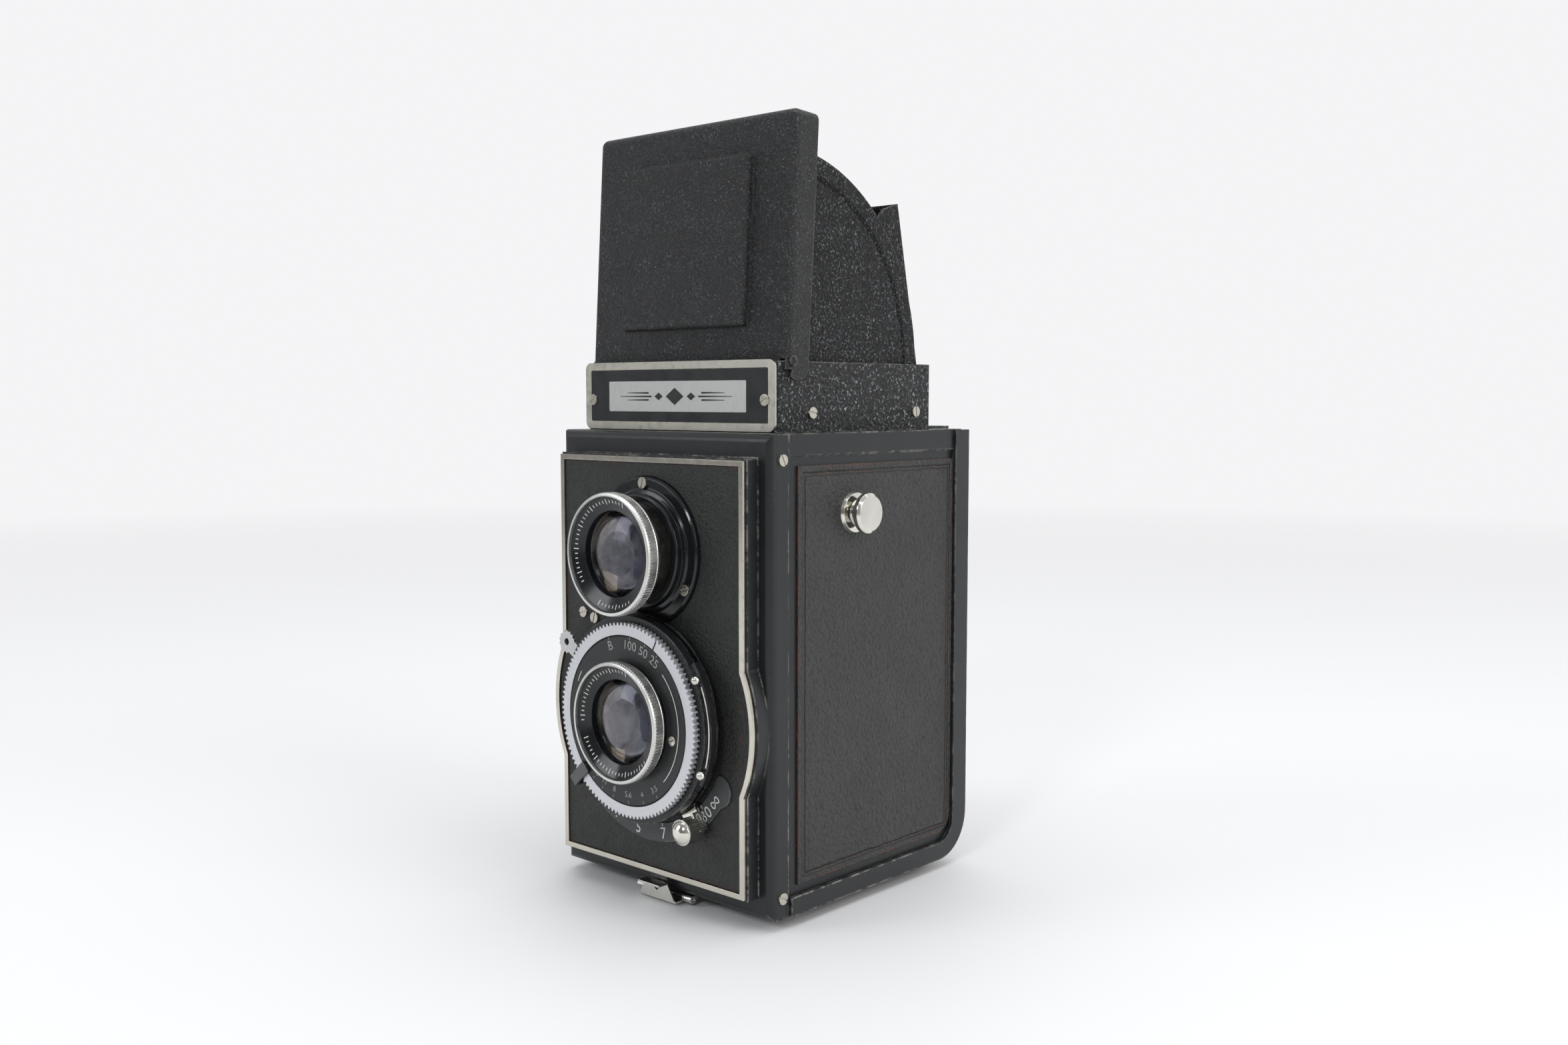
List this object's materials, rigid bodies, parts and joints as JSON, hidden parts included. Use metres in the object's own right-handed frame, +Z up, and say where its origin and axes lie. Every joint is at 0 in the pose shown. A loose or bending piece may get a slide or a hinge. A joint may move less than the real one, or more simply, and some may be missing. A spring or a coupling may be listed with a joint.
{
  "type": "twin lens reflex camera",
  "caption": "Box-shaped film camera with a viewing lens above a taking lens, folding hood with magnifier, and hinged back.",
  "frame": {"origin": "mouth of the tripod socket, on the plane that the feet stand on", "axes": "+X to the camera's right seen from the front, +Y from the lenses to the back, +Z up"},
  "size_m": [0.0968, 0.1051, 0.2074],
  "materials": {
    "black_crackle": "crackle paint",
    "black_gloss": "semi-gloss enamel",
    "black_matt": "matt black",
    "leatherette": "fine grain",
    "chrome": "polished, slightly worn",
    "nickel": "satin nickel",
    "aluminium": "satin",
    "brass": "machined",
    "steel": "bright",
    "spring_steel": "blued",
    "glass": "coated",
    "ground_glass": "ground",
    "mirror": "front silvered",
    "red_glass": "dark red",
    "wood_spool": "black lacquer"
  },
  "bodies": {
    "camera_body": {"front_panel": "black_gloss", "front_trim": "chrome", "front_leatherette": "leatherette", "body_shell": "black_gloss", "side_leatherettes": "leatherette", "mirror_box": "black_matt", "reflex_mirror": "mirror", "ground_glass": "ground_glass", "screen_frame": "black_matt", "film_gate": "black_matt", "strap_studs": "nickel", "spool_bearings": "steel", "screws": "nickel", "hood_base": "black_crackle", "nameplate": "nickel", "back_hinge_leaf": "black_gloss", "viewing_flange": "black_gloss", "distance_scale": "black_matt"},
    "hood_pins": {"hood_hinge_pins": "steel"},
    "hood_lid": {"hood_lid": "black_crackle", "hood_side_walls": "black_crackle", "magnifier_bracket": "steel"},
    "hood_leaf": {"hood_rear_leaf": "black_crackle"},
    "magnifier": {"magnifier_frame": "black_matt", "magnifier_lens": "glass"},
    "back_cover": {"back_cover": "black_gloss", "back_leatherette": "leatherette", "pressure_plate": "black_matt", "pressure_springs": "spring_steel", "red_window": "red_glass", "window_guides": "nickel", "tripod_bush": "nickel", "feet": "nickel", "back_hinge_knuckles": "black_gloss", "latch_base": "chrome"},
    "window_slide": {"window_slide": "nickel"},
    "latch_leaf": {"latch_leaf": "chrome"},
    "take_up": {"take_up_spool": "wood_spool", "winding_knob": "nickel"},
    "feed_spool": {"feed_spool": "wood_spool"},
    "feed_knob": {"feed_knob": "nickel"},
    "focus_ring": {"focus_ring": "black_gloss", "focus_gear": "brass", "focus_lever": "chrome"},
    "viewing_gear": {"viewing_gear": "brass"},
    "taking_unit": {"shutter_housing": "black_gloss", "shutter_face": "black_gloss", "sync_posts": "chrome", "taking_rim": "chrome", "taking_name_ring": "black_gloss", "taking_lens": "glass", "shutter_blades": "spring_steel"},
    "viewing_unit": {"viewing_tube": "brass", "viewing_rim": "chrome", "viewing_name_ring": "black_gloss", "viewing_lens": "glass"},
    "speed_ring": {"speed_ring": "aluminium"},
    "aperture_lever": {"aperture_lever": "steel"},
    "release_lever": {"release_lever": "aluminium"}
  },
  "joints": [
    {"name": "focus_turn", "type": "hinge", "parent": "camera_body", "child": "focus_ring", "pos_m": [0, -0.045, 0.0511], "axis": [0, -1, 0], "range_deg": [-62, 24]},
    {"name": "taking_focus_slide", "type": "slide", "parent": "camera_body", "child": "taking_unit", "axis": [0, -1, 0], "range_m": [-0.0015, 0.0037]},
    {"name": "viewing_gear_turn", "type": "hinge", "parent": "camera_body", "child": "viewing_gear", "pos_m": [0, -0.045, 0.0952], "axis": [0, -1, 0], "range_deg": [-25, 63]},
    {"name": "viewing_focus_slide", "type": "slide", "parent": "camera_body", "child": "viewing_unit", "axis": [0, -1, 0], "range_m": [-0.0015, 0.0037]},
    {"name": "speed_ring_turn", "type": "hinge", "parent": "taking_unit", "child": "speed_ring", "pos_m": [0, -0.045, 0.0511], "axis": [0, -1, 0], "range_deg": [0, 45]},
    {"name": "aperture_turn", "type": "hinge", "parent": "taking_unit", "child": "aperture_lever", "pos_m": [0, -0.045, 0.0511], "axis": [0, -1, 0], "range_deg": [0, 75]},
    {"name": "release_press", "type": "hinge", "parent": "taking_unit", "child": "release_lever", "pos_m": [0, -0.045, 0.0511], "axis": [0, -1, 0], "range_deg": [0, 16], "stiffness_Nm_per_rad": 0.05},
    {"name": "hood_pin_turn", "type": "hinge", "parent": "camera_body", "child": "hood_pins", "pos_m": [0, -0.029, 0.1445], "axis": [-1, 0, 0], "range_deg": [0, 48.5]},
    {"name": "hood_lid_turn", "type": "hinge", "parent": "hood_pins", "child": "hood_lid", "pos_m": [0, -0.029, 0.1445], "axis": [-1, 0, 0], "range_deg": [0, 36.5]},
    {"name": "hood_leaf_fold", "type": "hinge", "parent": "camera_body", "child": "hood_leaf", "pos_m": [0, 0.0273, 0.139], "axis": [1, 0, 0], "range_deg": [0, 78.3]},
    {"name": "magnifier_swing", "type": "hinge", "parent": "hood_lid", "child": "magnifier", "pos_m": [0, -0.02537, 0.19898], "axis": [-1, 0, 0], "range_deg": [-90, 0]},
    {"name": "back_open", "type": "hinge", "parent": "camera_body", "child": "back_cover", "pos_m": [0, 0.0446, 0.1252], "axis": [1, 0, 0], "range_deg": [0, 110]},
    {"name": "latch_open", "type": "hinge", "parent": "back_cover", "child": "latch_leaf", "pos_m": [0, -0.0389, 0.0019], "axis": [1, 0, 0], "range_deg": [0, 80]},
    {"name": "window_cover_slide", "type": "slide", "parent": "back_cover", "child": "window_slide", "axis": [0, 0, 1], "range_m": [0, 0.012]},
    {"name": "winding_turn", "type": "hinge", "parent": "camera_body", "child": "take_up", "pos_m": [-0.04, 0.026, 0.098], "axis": [-1, 0, 0], "continuous": true},
    {"name": "feed_spool_turn", "type": "hinge", "parent": "camera_body", "child": "feed_spool", "pos_m": [0, -0.015, 0.0174], "axis": [-1, 0, 0], "continuous": true},
    {"name": "feed_knob_pull", "type": "slide", "parent": "camera_body", "child": "feed_knob", "axis": [-1, 0, 0], "range_m": [0, 0.0045]}
  ],
  "couplings": [
    {"joint": "taking_focus_slide", "follows": "focus_turn", "m_per_rad": -0.00326},
    {"joint": "viewing_focus_slide", "follows": "focus_turn", "m_per_rad": -0.00326},
    {"joint": "viewing_gear_turn", "follows": "focus_turn", "ratio": -1},
    {"joint": "hood_leaf_fold", "follows": "hood_pin_turn", "ratio": 1.6143}
  ]
}
